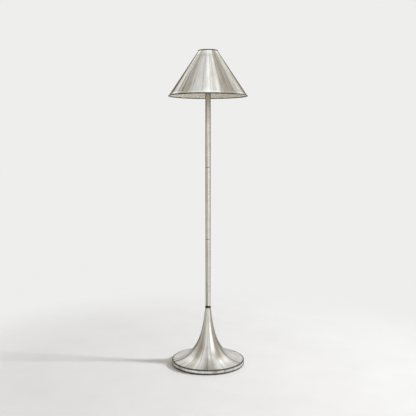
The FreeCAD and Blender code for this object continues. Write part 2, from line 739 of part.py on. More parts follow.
def socket_cap():
    """Cup that screws on the pipe and holds the socket's shell, with its locking screw."""
    boss = size.cap_boss_dia / 2
    neck = place.socket_foot + size.cap_neck
    inner_round = size.socket_cap_round - size.socket_cap_wall
    centre = (place.cup_inside - inner_round, neck + size.socket_cap_round)
    top = place.socket_foot + size.socket_cap_height
    pipe("socket_nipple", place.pole_top - size.nipple_length / 2, place.socket_foot + size.cap_boss_height)
    body = turned("socket_cap", [
        (place.thread_hole, place.socket_foot),
        (boss, place.socket_foot),
        (boss, neck),
        (centre[0], neck),
        Arc(centre, LEFT),
        (place.cup_outside, centre[1]),
        (place.cup_outside, top),
        (place.cup_inside, top),
        (place.cup_inside, centre[1]),
        Arc(centre, RIGHT),
        (centre[0], neck + size.socket_cap_wall),
        (boss, neck + size.socket_cap_wall),
        (boss, place.socket_foot + size.cap_boss_height),
        (place.thread_hole, place.socket_foot + size.cap_boss_height),
    ])
    screw_height = place.socket_foot + size.cap_neck / 2
    shank = size.cap_screw_dia / 2
    drill(body, "XZ_Plane", (ZERO, screw_height), size.cap_screw_dia + size.fit_gap * 2, size.cap_boss_dia)
    head_foot = boss + size.fit_gap
    screw = turned("cap_screw", [
        (ZERO, place.thread_hole),
        (shank, place.thread_hole),
        (shank, head_foot),
        (size.cap_screw_head_dia / 2, head_foot),
        (size.cap_screw_head_dia / 2, head_foot + size.cap_screw_head),
        (ZERO, head_foot + size.cap_screw_head),
    ], role="XY_Plane")
    raise_to(screw, screw_height)


def socket_interior():
    """Moulded block with room for the cam, a bearing for the shaft and two terminal notches."""
    edge = place.interior_radius - size.interior_chamfer
    body = turned("socket_interior", [
        (ZERO, place.interior_foot),
        (edge, place.interior_foot),
        (place.interior_radius, place.interior_foot + size.interior_chamfer),
        (place.interior_radius, place.interior_top - size.interior_chamfer),
        (edge, place.interior_top),
        (ZERO, place.interior_top),
    ])
    axis = (ZERO, place.key_height)
    drill(body, "YZ_Plane", axis, place.cavity_radius * 2, place.shell_radius * 2, size.cavity_reach)
    drill(body, "YZ_Plane", axis, size.shaft_dia + size.run_gap * 2, place.shell_radius, along_normal=True)
    notch = new_sketch(body, "XZ_Plane", place.shell_radius)
    draw(notch, rectangle(
        -size.notch_width / 2, place.key_height - size.notch_height / 2,
        size.notch_width / 2, place.key_height + size.notch_height / 2))
    notch_pocket = pocket(body, notch, place.shell_radius - place.interior_radius + size.notch_depth)
    hole = drill(body, "XZ_Plane", axis, size.terminal_dia + size.fit_gap * 2,
                 place.shell_radius - place.interior_radius + size.notch_depth + size.terminal_depth,
                 place.shell_radius)
    repeat_round(body, [notch_pocket, hole], as_size(2))


def terminal_screws():
    floor = place.interior_radius - size.notch_depth
    body = new_body("terminal_screws")
    sketch = new_sketch(body, "XY_Plane")
    draw(sketch, [
        (ZERO, floor - size.terminal_depth),
        (size.terminal_dia / 2, floor - size.terminal_depth),
        (size.terminal_dia / 2, floor + size.fit_gap),
        (size.terminal_head_dia / 2, floor + size.fit_gap),
        (size.terminal_head_dia / 2, floor + size.terminal_head),
        (ZERO, floor + size.terminal_head),
    ])
    screw = spin(body, sketch)
    repeat_round(body, [screw], as_size(2))
    raise_to(body, place.key_height)


def centre_contact():
    """Bent leaf: fixed on one side of the interior's top, its free end on the lamp's axis."""
    floor = place.interior_top
    leaf = size.contact_thickness
    body = new_body("centre_contact")
    sketch = new_sketch(body, "XZ_Plane")
    draw(sketch, [
        (-size.contact_foot, floor),
        (-size.contact_tip, floor),
        (-size.contact_tip + leaf, floor + leaf),
        (-size.contact_tip + leaf, place.contact_top - leaf),
        (size.contact_tip, place.contact_top - leaf),
        (size.contact_tip, place.contact_top),
        (-size.contact_tip, place.contact_top),
        (-size.contact_tip, floor + leaf),
        (-size.contact_foot, floor + leaf),
    ])
    pad(body, sketch, size.contact_width, both_ways=True)


def screw_shell():
    """Threaded sheet cup that takes the bulb."""
    inside = place.screw_shell_thread
    outside = inside + size.thread_sheet
    foot = place.interior_top + size.thread_sheet
    turns = int(size.shell_turns.value)
    flange = outside - size.shell_flange
    turned("screw_shell",
           [(flange, place.interior_top), (outside, place.interior_top)]
           + rolled_thread(outside, foot, turns)
           + rolled_thread(inside, foot, turns, upward=False)
           + [(flange, foot)])


def socket_casing():
    """Insulating sleeve, and the shell with its bead and outer thread, both with a window."""
    axis = (ZERO, place.key_height)
    sleeve = turned("insulating_sleeve", rectangle(
        place.liner_inside, place.socket_foot + size.liner_foot, place.liner_outside, place.socket_mouth))
    drill(sleeve, "YZ_Plane", axis, size.shaft_window_dia, place.cup_outside, along_normal=True)
    bead_round = size.shoulder_height / 2
    bead_edge = place.shell_radius + size.shoulder_lip - bead_round
    bead_middle = place.shoulder_top - bead_round
    thread_foot = place.shoulder_top + size.free_gap
    shell = turned("socket_shell",
                   [(place.shell_inside, place.socket_foot + size.shell_foot),
                    (place.shell_radius, place.socket_foot + size.shell_foot),
                    (place.shell_radius, place.shoulder_top - size.shoulder_height),
                    (bead_edge, place.shoulder_top - size.shoulder_height),
                    Arc((bead_edge, bead_middle), LEFT),
                    (bead_edge, place.shoulder_top),
                    (place.outer_thread, place.shoulder_top)]
                   + rolled_thread(place.outer_thread, thread_foot, int(size.outer_turns.value))
                   + [(place.shell_radius, thread_foot + size.thread_pitch * (size.outer_turns + 0.2)),
                      (place.shell_radius, place.socket_mouth),
                      (place.shell_inside, place.socket_mouth)])
    drill(shell, "YZ_Plane", axis, size.shaft_window_dia, place.cup_outside, along_normal=True)


def switch():
    """Square cam on a shaft along +X, with a winged key outside the shell."""
    shaft = size.shaft_dia / 2
    cam_end = size.cavity_reach - size.free_gap
    hub_foot = place.cup_outside + size.free_gap
    wing_foot = hub_foot + size.key_hub_length / 2
    shaft_end = wing_foot
    shaft_body = turned("switch_shaft", rectangle(cam_end - size.cam_length, ZERO, shaft_end, shaft),
                        role="XY_Plane", axis="H_Axis")
    cam = new_body("switch_cam")
    cam_sketch = new_sketch(cam, "YZ_Plane", cam_end - size.cam_length)
    half = size.cam_side / 2
    draw(cam_sketch, rectangle(-half, -half, half, half))
    draw_circle(cam_sketch, (ZERO, ZERO), shaft + size.fit_gap)
    pad(cam, cam_sketch, size.cam_length)
    socket_bore = shaft + size.fit_gap
    key = turned("switch_key", [
        (hub_foot, socket_bore),
        (shaft_end + size.fit_gap, socket_bore),
        (shaft_end + size.fit_gap, ZERO),
        (hub_foot + size.key_hub_length, ZERO),
        (hub_foot + size.key_hub_length, size.key_hub_dia / 2),
        (hub_foot, size.key_hub_dia / 2),
    ], role="XY_Plane", axis="H_Axis")
    wing_sketch = new_sketch(key, "XZ_Plane")
    wing = size.key_width / 2
    wing_start = hub_foot + size.key_hub_length - size.key_thickness / 2
    wing_end = wing_start + size.key_wing_length
    flat = wing - size.key_round
    draw(wing_sketch, [
        (wing_start, -wing + size.key_round),
        Arc((wing_start + size.key_round, -flat), LEFT),
        (wing_start + size.key_round, -wing),
        (wing_end - size.key_round, -wing),
        Arc((wing_end - size.key_round, -flat), LEFT),
        (wing_end, -flat),
        (wing_end, flat),
        Arc((wing_end - size.key_round, flat), LEFT),
        (wing_end - size.key_round, wing),
        (wing_start + size.key_round, wing),
        Arc((wing_start + size.key_round, flat), LEFT),
        (wing_start, flat),
    ])
    pad(key, wing_sketch, size.key_thickness, both_ways=True)
    for body in (shaft_body, cam, key):
        raise_to(body, place.key_height)


def retaining_ring():
    """Knurled ring that screws down over the shade's flat ring."""
    inside = place.outer_crest + size.fit_gap
    outside = inside + size.lock_ring_wall
    top = place.lock_ring_foot + size.lock_ring_height
    body = turned("retaining_ring", rectangle(inside, place.lock_ring_foot, outside, top))
    sketch = new_sketch(body, "XY_Plane", place.lock_ring_foot)
    draw(sketch, [
        (outside - size.knurl_depth, ZERO),
        (outside + size.knurl_depth, -size.knurl_width),
        (outside + size.knurl_depth, size.knurl_width),
    ])
    groove = pocket(body, sketch, size.lock_ring_height, along_normal=True)
    repeat_round(body, [groove], size.knurl_count)


# ---------------------------------------------------------------- shade

def beside_shade(along, inward):
    """A point at a distance along the cone from its lower bead, and inward from its bead line."""
    across = place.lower_bead_across + place.along_across * along - place.along_up * inward
    up = place.lower_bead_up + place.along_up * along + place.along_across * inward
    return across, up


def around_bead(middle, along, outward):
    """A point beside a bead's middle, measured along the cone and outward from it."""
    across = middle[0] + place.along_across * along + place.along_up * outward
    up = middle[1] + place.along_up * along - place.along_across * outward
    return across, up


def shade():
    """Spun cone with both edges rolled outward round a wire."""
    lower = (place.lower_bead_across, place.lower_bead_up)
    upper = (place.upper_bead_across, place.upper_bead_up)
    outer = place.bead_radius
    inner = place.bead_hollow
    turned("shade_shell", [
        around_bead(lower, ZERO, -outer),
        Arc(lower, LEFT),
        around_bead(lower, outer, ZERO),
        around_bead(lower, inner, ZERO),
        Arc(lower, RIGHT),
        around_bead(lower, ZERO, -inner),
        around_bead(upper, ZERO, -inner),
        Arc(upper, RIGHT),
        around_bead(upper, -inner, ZERO),
        around_bead(upper, -outer, ZERO),
        Arc(upper, LEFT),
        around_bead(upper, ZERO, -outer),
    ])
    wire_ring("shade_lower_wire", lower, size.edge_wire_dia)
    wire_ring("shade_upper_wire", upper, size.edge_wire_dia)


def shade_fitter():
    """Flat ring on the socket's bead, and the bent arms that carry the shade from it."""
    turned("fitter_ring", rectangle(
        place.fitter_inside, place.fitter_foot, place.fitter_radius, place.fitter_top))
    outer_face = place.bead_radius + size.tab_gap
    inner_face = outer_face + size.arm_thickness
    arm_foot = place.fitter_radius - size.arm_lap
    bend = place.fitter_radius + size.arm_straight
    bend_back = size.arm_thickness * UPPER_BEND_SHARE
    tab_back = size.arm_thickness * LOWER_BEND_SHARE
    tab_top = size.tab_foot + size.tab_length
    count = int(size.arm_count.value)
    for number in range(count):
        arm = new_body(f"fitter_arm_{number + 1}")
        sketch = new_sketch(arm, "XZ_Plane")
        draw(sketch, [
            (arm_foot, place.fitter_top),
            (bend, place.fitter_top),
            beside_shade(size.tab_foot, outer_face),
            beside_shade(tab_top, outer_face),
            beside_shade(tab_top, inner_face),
            beside_shade(size.tab_foot + tab_back, inner_face),
            (bend - bend_back, place.fitter_top + size.arm_thickness),
            (arm_foot, place.fitter_top + size.arm_thickness),
        ])
        pad(arm, sketch, size.arm_width, both_ways=True)
        arm.Placement.Rotation = FreeCAD.Rotation(FreeCAD.Vector(0, 0, 1), BACK_ANGLE + 360 / count * number)


# ---------------------------------------------------------------- bulb

def bulb_cap():
    """Tip contact, black glass insulator and threaded cap."""
    tip_radius = size.tip_dia / 2
    tip_ball = (tip_radius * tip_radius + size.tip_dome * size.tip_dome) / (size.tip_dome * 2)
    glass_low = place.tip_foot + size.tip_height
    floor_edge = place.insulator_radius + size.fit_gap
    turned("bulb_tip", [
        (ZERO, place.tip_foot),
        Arc((ZERO, place.tip_foot + tip_ball), LEFT),
        (tip_radius, place.tip_foot + size.tip_dome),
        (tip_radius, glass_low),
        (ZERO, glass_low),
    ])
    turned("bulb_insulator", [
        (ZERO, glass_low),
        (tip_radius, glass_low),
        (place.insulator_radius, glass_low + size.insulator_cone),
        (place.insulator_radius, glass_low + size.insulator_height),
        (ZERO, glass_low + size.insulator_height),
    ])
    turned("bulb_cap",
           [(floor_edge, place.cap_foot), (place.cap_bore, place.cap_foot)]
           + rolled_thread(place.bulb_thread, place.bulb_thread_foot, int(size.bulb_turns.value))
           + [(place.bulb_thread, place.cap_top),
              (place.cap_bore, place.cap_top),
              (place.cap_bore, place.cap_foot + size.bulb_cap_floor),
              (floor_edge, place.cap_foot + size.bulb_cap_floor)])


def bulb_glass():
    """Pear-shaped glass: a neck inside the cap, a swelling curve and a round top."""
    radius = size.bulb_dia / 2
    wall = size.bulb_wall
    neck = place.glass_neck
    low_pole = (neck + wall * 2, place.cap_top + radius * GLASS_NECK_PULL)
    high_pole = (radius, place.bulb_middle - radius * GLASS_BELLY_PULL)
    crown = place.bulb_middle + radius
    turned("bulb_glass", [
        (neck - wall, place.glass_foot),
        (neck, place.glass_foot),
        (neck, place.cap_top),
        Curve(low_pole, high_pole),
        (radius, place.bulb_middle),
        Arc((ZERO, place.bulb_middle), LEFT),
        (ZERO, crown),
        (ZERO, crown - wall),
        Arc((ZERO, place.bulb_middle), RIGHT),
        (radius - wall, place.bulb_middle),
        Curve((high_pole[0] - wall, high_pole[1]), (low_pole[0] - wall, low_pole[1])),
        (neck - wall, place.cap_top),
    ])


def bulb_inside():
    """Glass stem, and the wire that runs up, across and down again as filament and leads."""
    stem_radius = size.stem_dia / 2
    foot_radius = place.glass_neck - size.bulb_wall - size.fit_gap
    turned("bulb_stem", [
        (ZERO, place.glass_foot),
        (foot_radius, place.glass_foot),
        (foot_radius, place.glass_foot + size.bulb_wall * 2),
        (stem_radius, place.cap_top),
        (stem_radius, place.stem_top),
        (ZERO, place.stem_top),
    ])
    body = new_body("bulb_filament")
    lead_start = place.stem_top + size.fit_gap
    profile = new_sketch(body, "XY_Plane", lead_start)
    draw_circle(profile, (size.lead_foot, ZERO), size.lead_dia / 2)
    route = new_sketch(body, "XZ_Plane")
    corners = [
        (size.lead_foot, lead_start),
        (size.filament_half, place.bulb_middle),
        (-size.filament_half, place.bulb_middle),
        (-size.lead_foot, lead_start),
    ]
    for edge, (start, end) in enumerate(zip(corners, corners[1:])):
        route.addGeometry(Part.LineSegment(vector(start), vector(end)), False)
        tie(route, edge, 1, start)
        tie(route, edge, 2, end)
    doc.recompute()
    wire = body.newObject("PartDesign::AdditivePipe", "filament_pipe")
    wire.Profile = profile
    wire.Spine = (route, ["Edge1", "Edge2", "Edge3"])
    wire.Transition = "Round corner"


# ---------------------------------------------------------------- build, check and write

def build():
    felt_ring()
    base_casting()
    bottom_plate()
    plate_screws()
    cord_bushing()
    flared_cover()
    hub_fasteners()
    neck_collar()
    pole()
    pole_cap()
    socket_cap()
    socket_interior()
    terminal_screws()
    centre_contact()
    screw_shell()
    socket_casing()
    switch()
    retaining_ring()
    shade_fitter()
    shade()
    bulb_cap()
    bulb_glass()
    bulb_inside()
    doc.recompute()


def check():
    """Stops before anything is written if a feature failed or a piece is not sound."""
    for item in doc.Objects:
        if {"Invalid", "Error"} & set(item.State):
            raise RuntimeError(f"{item.Label} failed: {item.State}")
    for body in pieces:
        if body.Shape.isNull() or not body.Shape.isValid():
            raise RuntimeError(f"{body.Label} has no sound shape")


def write():
    for body in pieces:
        body.Shape.exportStep(f"parts/{body.Label}.step")
        print(f"{body.Label}: {len(body.Shape.Solids)} solid, {body.Shape.Volume / 1000:.2f} cm3")


build()
check()
write()
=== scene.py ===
import bpy
import math
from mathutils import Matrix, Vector


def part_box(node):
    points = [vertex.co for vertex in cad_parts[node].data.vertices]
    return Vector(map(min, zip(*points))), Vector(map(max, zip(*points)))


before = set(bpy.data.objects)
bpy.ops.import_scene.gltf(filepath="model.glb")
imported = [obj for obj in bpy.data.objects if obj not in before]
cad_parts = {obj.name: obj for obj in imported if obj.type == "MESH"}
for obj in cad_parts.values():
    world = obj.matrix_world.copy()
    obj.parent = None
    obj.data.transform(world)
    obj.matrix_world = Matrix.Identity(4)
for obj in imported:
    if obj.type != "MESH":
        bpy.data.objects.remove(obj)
for left_over in ("Cube", "Light", "Camera"):
    if left_over in bpy.data.objects:
        bpy.data.objects.remove(bpy.data.objects[left_over])
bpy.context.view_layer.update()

SCENE = bpy.context.scene
SCENE.view_settings.view_transform = "Standard"
MM = 0.001
TURN = 2 * math.pi

# Heights on the lamp, and the radius of its base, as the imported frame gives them
FLOOR_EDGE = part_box("base_casting")[0].z
RIM_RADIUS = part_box("base_casting")[1].x
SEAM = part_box("flared_cover")[0].z
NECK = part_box("neck_collar")[0].z
COLLAR_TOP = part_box("neck_collar")[1].z
LOWER_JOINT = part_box("pole_middle")[0].z
UPPER_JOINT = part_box("pole_upper")[0].z
SHADE_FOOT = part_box("shade_shell")[0].z
SHADE_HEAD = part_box("shade_shell")[1].z
GLASS_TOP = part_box("bulb_glass")[1].z

# Colours of the plate, from wax left in a hollow to metal rubbed bare; the wax colour also paints shade along
# the base's floor edge
WAX_AND_SHADE = "#241F17"
DULL = "#847C6A"
SATIN = "#D9D7D1"
PALE = "#EFEEEB"
BARE = "#F8F8F7"
# What the plate's gloss falls to where a piece curves away, which gives it a dark outline
SHADE_EDGE = "#625D52"
POLE_EDGE = "#4A463D"
NECK_EDGE = "#5A554B"
DISC_EDGE = "#E8E6E0"

# Broad strokes of the cloth, side by side round each piece, and the shift that picks their pattern
SHADE_STROKES = 20
SHADE_SHIFT = 6.5
POLE_STROKES = 7
POLE_SHIFT = 10.4
COVER_STROKES = 17
COVER_SHIFT = 24.9
BAND_STROKES = 12
BAND_SHIFT = 8.0

# How far dark wax reaches from each seam and edge, in mm; along the floor edge the line is wax and painted
# shade
SHADE_FOOT_WAX = 7.5
SHADE_HEAD_WAX = 5.5
JOINT_WAX = 2.2
COLLAR_WAX = 4.0
NECK_WAX = 6.0
RIM_WAX = 8.0
SEAM_WAX = 4.0
# Along the floor edge the dark line is wax and painted shade where the band meets the felt and floor
FLOOR_EDGE_WAX_AND_SHADE = 8.0

# The rings of spinning and lathe polishing smear each reflection up and down the piece
SPUN_GRAIN = dict(anisotropic=0.6, anisotropic_rotation=0.25)

# The backdrop, and the grey beside the lamp that only reflections show
BACKDROP = "#EEEEED"
FLAG = "#B2AC9F"


def linear(colour):
    """Turns an sRGB hex colour into the linear one that a shader takes."""
    parts = [int(colour[at:at + 2], 16) / 255 for at in (1, 3, 5)]
    return [c / 12.92 if c <= 0.04045 else ((c + 0.055) / 1.055) ** 2.4 for c in parts] + [1.0]


def add(tree, kind, feeds=(), out="", stops=(), **settings):
    """Adds a shader node with its settings, feeds its sockets and gives one output.

    Feeds go to the sockets by name, or in the order of those in use. The output is the first in
    use unless it is named. Stops are the positions and colours of a colour ramp.
    """
    node = tree.nodes.new("ShaderNode" + kind)
    for setting, value in settings.items():
        setattr(node, setting, value)
    if stops:
        band = node.color_ramp.elements
        for element, (position, colour) in ((band[0], stops[0]), (band[1], stops[-1])):
            element.position = position
            element.color = linear(colour)
        for position, colour in stops[1:-1]:
            band.new(position).color = linear(colour)
    if isinstance(feeds, dict):
        pairs = [(node.inputs[name], feed) for name, feed in feeds.items()]
    else:
        pairs = zip([socket for socket in node.inputs if socket.enabled], feeds)
    for socket, feed in pairs:
        if isinstance(feed, bpy.types.NodeSocket):
            tree.links.new(feed, socket)
        else:
            socket.default_value = linear(feed) if isinstance(feed, str) else feed
    if out:
        return node.outputs[out]
    in_use = [socket for socket in node.outputs if socket.enabled]
    return in_use[0] if in_use else None


def new_finish(name):
    """A new material: the material, its tree, and the point's place on the lamp in metres.

    The place rides with its piece, so the finish stays on it at every pose.
    """
    material = bpy.data.materials.new(name)
    material.use_nodes = True
    tree = material.node_tree
    tree.nodes.clear()
    return material, tree, add(tree, "TexCoord", out="Object")


def end_finish(tree, relief, depth_mm, **sockets):
    """Ends a material: the shader with its sockets, and a relief from 0 to 1 as a bump that deep."""
    feeds = {"Normal": add(tree, "Bump", {"Strength": 1.0, "Distance": depth_mm * MM, "Height": relief})}
    for name, feed in sockets.items():
        feeds[name.replace("_", " ").title().replace("Ior", "IOR")] = feed
    shader = add(tree, "BsdfPrincipled", feeds)
    add(tree, "OutputMaterial", (shader,))


def wear(material, *nodes):
    """Gives CAD nodes a material."""
    for node in nodes:
        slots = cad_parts[node].data.materials
        slots.clear()
        slots.append(material)


# ---------------------------------------------------------------- patterns

def sideways(tree, where):
    """The level vector from the lamp's axis to the point."""
    return add(tree, "VectorMath", (where, (1, 1, 0)), operation="MULTIPLY")


def strokes(tree, where, count, length_mm, shift=0.0):
    """Strokes that run up the lamp, so many side by side round it that they close in where it is slim."""
    outward = add(tree, "VectorMath", (sideways(tree, where),), operation="NORMALIZE")
    across = (count / TURN, count / TURN, 0)
    ring = add(tree, "VectorMath", (outward, across, (shift, shift, 0)), operation="MULTIPLY_ADD")
    along = (0, 0, 1 / (length_mm * MM))
    both = add(tree, "VectorMath", (where, along, ring), operation="MULTIPLY_ADD")
    return add(tree, "TexNoise", {"Vector": both, "Scale": 1.0, "Detail": 3.0, "Roughness": 0.55})


def wave_scale(pitch_mm):
    """The scale at which the wave texture repeats at a pitch: at scale 1 it has 20 waves in 2 pi metres."""
    return TURN / (20 * pitch_mm * MM)


def turned_rings(tree, where, pitch_mm, waver):
    """Fine rings round the axis, as a lathe tool or a spinning roller leaves them."""
    level = add(tree, "VectorMath", (where, (0, 0, 1)), operation="MULTIPLY")
    feeds = {"Vector": level, "Scale": wave_scale(pitch_mm), "Distortion": waver, "Detail": 2.0,
             "Detail Scale": 1.0}
    return add(tree, "TexWave", feeds, out="Fac", bands_direction="Z")


def lines_at(tree, reading, *lines):
    """1 where a height or a radius is near one of the lines, each given as a value and a reach in mm.

    A line is full to half its reach and fades out over the rest.
    """
    total = 0.0
    for value, reach_mm in lines:
        offset = add(tree, "Math", (reading, value), operation="SUBTRACT")
        away = add(tree, "Math", (offset,), operation="ABSOLUTE")
        line = add(tree, "MapRange", (away, 0.5 * reach_mm * MM, reach_mm * MM, 1.0, 0.0),
                   interpolation_type="SMOOTHSTEP")
        total = add(tree, "Math", (total, line), operation="MAXIMUM")
    return total


def outer_side(tree, where):
    """1 on faces that look away from the lamp's axis, 0 on faces that look towards it."""
    normal = add(tree, "TexCoord", out="Normal")
    facing = add(tree, "VectorMath", (sideways(tree, where), normal), operation="DOT_PRODUCT")
    return add(tree, "Math", (facing, 0.0), operation="GREATER_THAN")


def rubbed_plate(tree, where, count, shift, wax_and_shade=0.0, polished=0.0):
    """Antique nickel plate, waxed dark and rubbed bright by hand: its colour, bareness, roughness and relief.

    The cloth leaves long strokes of bare, satin and dull metal, and scratches that are drawn up to
    2 mm wide so that they show. Wax stays in the seams, and the same dark line paints shade where a
    caller lays it along the floor edge. The plate beside a bead is rubbed brightest.
    """
    broad = strokes(tree, where, count, length_mm=1500, shift=shift)
    narrow = strokes(tree, where, 4 * count, length_mm=500, shift=shift)
    scratches = strokes(tree, where, 28 * count, length_mm=70)
    cloud = add(tree, "TexNoise", {"Vector": where, "Scale": 1 / (45 * MM), "Detail": 4.0, "Roughness": 0.6})

    # Tone of the plate, from the dull end of the strokes to the bare one
    tone = add(tree, "Math", (broad, 0.52), operation="MULTIPLY")
    tone = add(tree, "Math", (narrow, 0.48, tone), operation="MULTIPLY_ADD")
    tone = add(tree, "Math", (polished, 0.10, tone), operation="MULTIPLY_ADD")
    plate = add(tree, "ValToRGB", (tone,), stops=((0.37, DULL), (0.46, SATIN), (0.56, PALE), (0.64, BARE)))

    # A dull haze in clouds, then the scratches, then the wax and painted shade over both
    haze = add(tree, "MapRange", (cloud, 0.50, 0.75, 0.0, 0.22))
    colour = add(tree, "Mix", (haze, plate, DULL), data_type="RGBA")
    scratched = add(tree, "MapRange", (scratches, 0.32, 0.52, 0.42, 0.0))
    colour = add(tree, "Mix", (scratched, colour, DULL), data_type="RGBA")
    patchy = add(tree, "MapRange", (cloud, 0.35, 0.65, 1.0, 0.85))
    wax_and_shade_share = add(tree, "Math", (wax_and_shade, patchy), operation="MULTIPLY")
    colour = add(tree, "Mix", (wax_and_shade_share, colour, WAX_AND_SHADE), data_type="RGBA")

    bare = add(tree, "Math", (1.0, wax_and_shade_share), operation="SUBTRACT")
    rough = add(tree, "MapRange", (tone, 0.36, 0.62, 0.40, 0.26))
    rough = add(tree, "Math", (wax_and_shade_share, 0.2, rough), operation="MULTIPLY_ADD")
    return colour, bare, rough, scratches


# ---------------------------------------------------------------- finishes

def shade_finish():
    """Spun steel: rubbed antique nickel outside, sprayed enamel inside.

    Outside, strokes fan out from the small opening and end at a bead that is rubbed bright beside
    its dark wax. Inside, the enamel has orange peel and has yellowed over the bulb.
    """
    bead_top = SHADE_FOOT + 4.0 * MM
    bright_foot = SHADE_FOOT + 9 * MM
    bright_head = SHADE_HEAD - 11 * MM
    yellow_from = GLASS_TOP - 60 * MM

    material, tree, where = new_finish("spun_shade_nickel_and_enamel")
    height = add(tree, "SeparateXYZ", (where,), out="Z")
    wax_and_shade = lines_at(tree, height, (SHADE_FOOT, SHADE_FOOT_WAX), (SHADE_HEAD, SHADE_HEAD_WAX))
    polished = lines_at(tree, height, (bright_foot, 6), (bright_head, 13))
    plate, bare, plate_rough, scratches = rubbed_plate(
        tree, where, SHADE_STROKES, SHADE_SHIFT, wax_and_shade, polished)

    peel = add(tree, "TexNoise", {"Vector": where, "Scale": 1 / (1.6 * MM), "Detail": 2.0, "Roughness": 0.4})
    shallow_peel = add(tree, "Math", (peel, 0.1), operation="MULTIPLY")
    warmth = add(tree, "MapRange", (height, yellow_from, SHADE_HEAD, 0.0, 0.55))
    enamel = add(tree, "Mix", (warmth, "#DBD5C8", "#CEC09E"), data_type="RGBA")

    on_bead = add(tree, "Math", (height, bead_top), operation="LESS_THAN")
    outside = add(tree, "Math", (outer_side(tree, where), on_bead), operation="MAXIMUM")
    end_finish(tree, add(tree, "Mix", (outside, shallow_peel, scratches)), depth_mm=0.02,
               base_color=add(tree, "Mix", (outside, enamel, plate), data_type="RGBA"),
               metallic=add(tree, "Math", (outside, bare), operation="MULTIPLY"),
               roughness=add(tree, "Mix", (outside, 0.42, plate_rough)),
               tangent=add(tree, "Tangent", direction_type="RADIAL", axis="Z"),
               specular_tint=SHADE_EDGE, **SPUN_GRAIN)
    return material


def pole_finish():
    """Drawn steel tube, polished in a lathe, with rubbed antique nickel.

    Long strokes run up it, wax stays at the collar and faintly in the joints, and its top is
    painted darker, a painted shadow of the shade above it.
    """
    material, tree, where = new_finish("drawn_pole_nickel")
    height = add(tree, "SeparateXYZ", (where,), out="Z")
    joints = lines_at(tree, height, (LOWER_JOINT, JOINT_WAX), (UPPER_JOINT, JOINT_WAX))
    faint = add(tree, "Math", (joints, 0.6), operation="MULTIPLY")
    at_collar = lines_at(tree, height, (COLLAR_TOP, COLLAR_WAX))
    wax_and_shade = add(tree, "Math", (at_collar, faint), operation="MAXIMUM")
    plate, bare, rough, scratches = rubbed_plate(tree, where, POLE_STROKES, POLE_SHIFT, wax_and_shade)
    # Painted shadow: the pole's top is darkened towards DULL where the shade's shadow falls on it
    painted_shade_shadow = add(tree, "MapRange", (height, SHADE_FOOT - 130 * MM, SHADE_FOOT - 40 * MM, 0.0, 0.50))
    end_finish(tree, scratches, depth_mm=0.01,
               base_color=add(tree, "Mix", (painted_shade_shadow, plate, DULL), data_type="RGBA"),
               metallic=bare, roughness=rough,
               tangent=add(tree, "Tangent", direction_type="RADIAL", axis="Z"),
               specular_tint=POLE_EDGE, **SPUN_GRAIN)
    return material


def cover_finish():
    """Spun steel trumpet with rubbed antique nickel.

    Strokes run down the flare, and wax stays at the neck and in the seam round the rim. Its edges
    are dark up the neck and pale on the flat disc.
    """
    flare_foot = 45 * MM
    flare_steep = 95 * MM

    material, tree, where = new_finish("spun_cover_nickel")
    height = add(tree, "SeparateXYZ", (where,), out="Z")
    radius = add(tree, "VectorMath", (sideways(tree, where),), operation="LENGTH")
    at_rim = lines_at(tree, radius, (RIM_RADIUS, RIM_WAX))
    at_neck = lines_at(tree, height, (NECK, NECK_WAX))
    wax_and_shade = add(tree, "Math", (at_rim, at_neck), operation="MAXIMUM")
    plate, bare, rough, scratches = rubbed_plate(tree, where, COVER_STROKES, COVER_SHIFT, wax_and_shade)
    up_neck = add(tree, "MapRange", (height, flare_foot, flare_steep))
    end_finish(tree, scratches, depth_mm=0.02, base_color=plate, metallic=bare, roughness=rough,
               tangent=add(tree, "Tangent", direction_type="RADIAL", axis="Z"),
               specular_tint=add(tree, "Mix", (up_neck, DISC_EDGE, NECK_EDGE), data_type="RGBA"),
               **SPUN_GRAIN)
    return material


def casting_finish():
    """Cast iron disc: a turned, plated and rubbed band round rough black primer.

    The band has fine lathe rings between a line of wax in the seam above and a dark line of wax
    and painted shade along the floor edge below. The rest shows the grain of the sand that it was cast in.
    """
    turned_depth = 1.2 * MM

    material, tree, where = new_finish("cast_base_plated_band")
    height = add(tree, "SeparateXYZ", (where,), out="Z")
    radius = add(tree, "VectorMath", (sideways(tree, where),), operation="LENGTH")
    # Painted shade: the line along the floor edge darkens the band's foot where it meets the felt and the
    # floor
    wax_and_shade = lines_at(tree, height, (SEAM, SEAM_WAX), (FLOOR_EDGE, FLOOR_EDGE_WAX_AND_SHADE))
    plate, bare, rough, _ = rubbed_plate(tree, where, BAND_STROKES, BAND_SHIFT, wax_and_shade)
    rings = turned_rings(tree, where, pitch_mm=0.8, waver=0.4)
    sand = add(tree, "TexNoise", {"Vector": where, "Scale": 1 / (1.2 * MM), "Detail": 4.0, "Roughness": 0.7})
    primer = add(tree, "ValToRGB", (sand,), stops=((0.3, "#1B1A19"), (0.7, "#35322F")))
    on_band = add(tree, "Math", (radius, RIM_RADIUS - turned_depth), operation="GREATER_THAN")
    end_finish(tree, add(tree, "Mix", (on_band, sand, rings)), depth_mm=0.03,
               base_color=add(tree, "Mix", (on_band, primer, plate), data_type="RGBA"),
               metallic=add(tree, "Math", (on_band, bare), operation="MULTIPLY"),
               roughness=add(tree, "Mix", (on_band, 0.75, rough)))
    return material


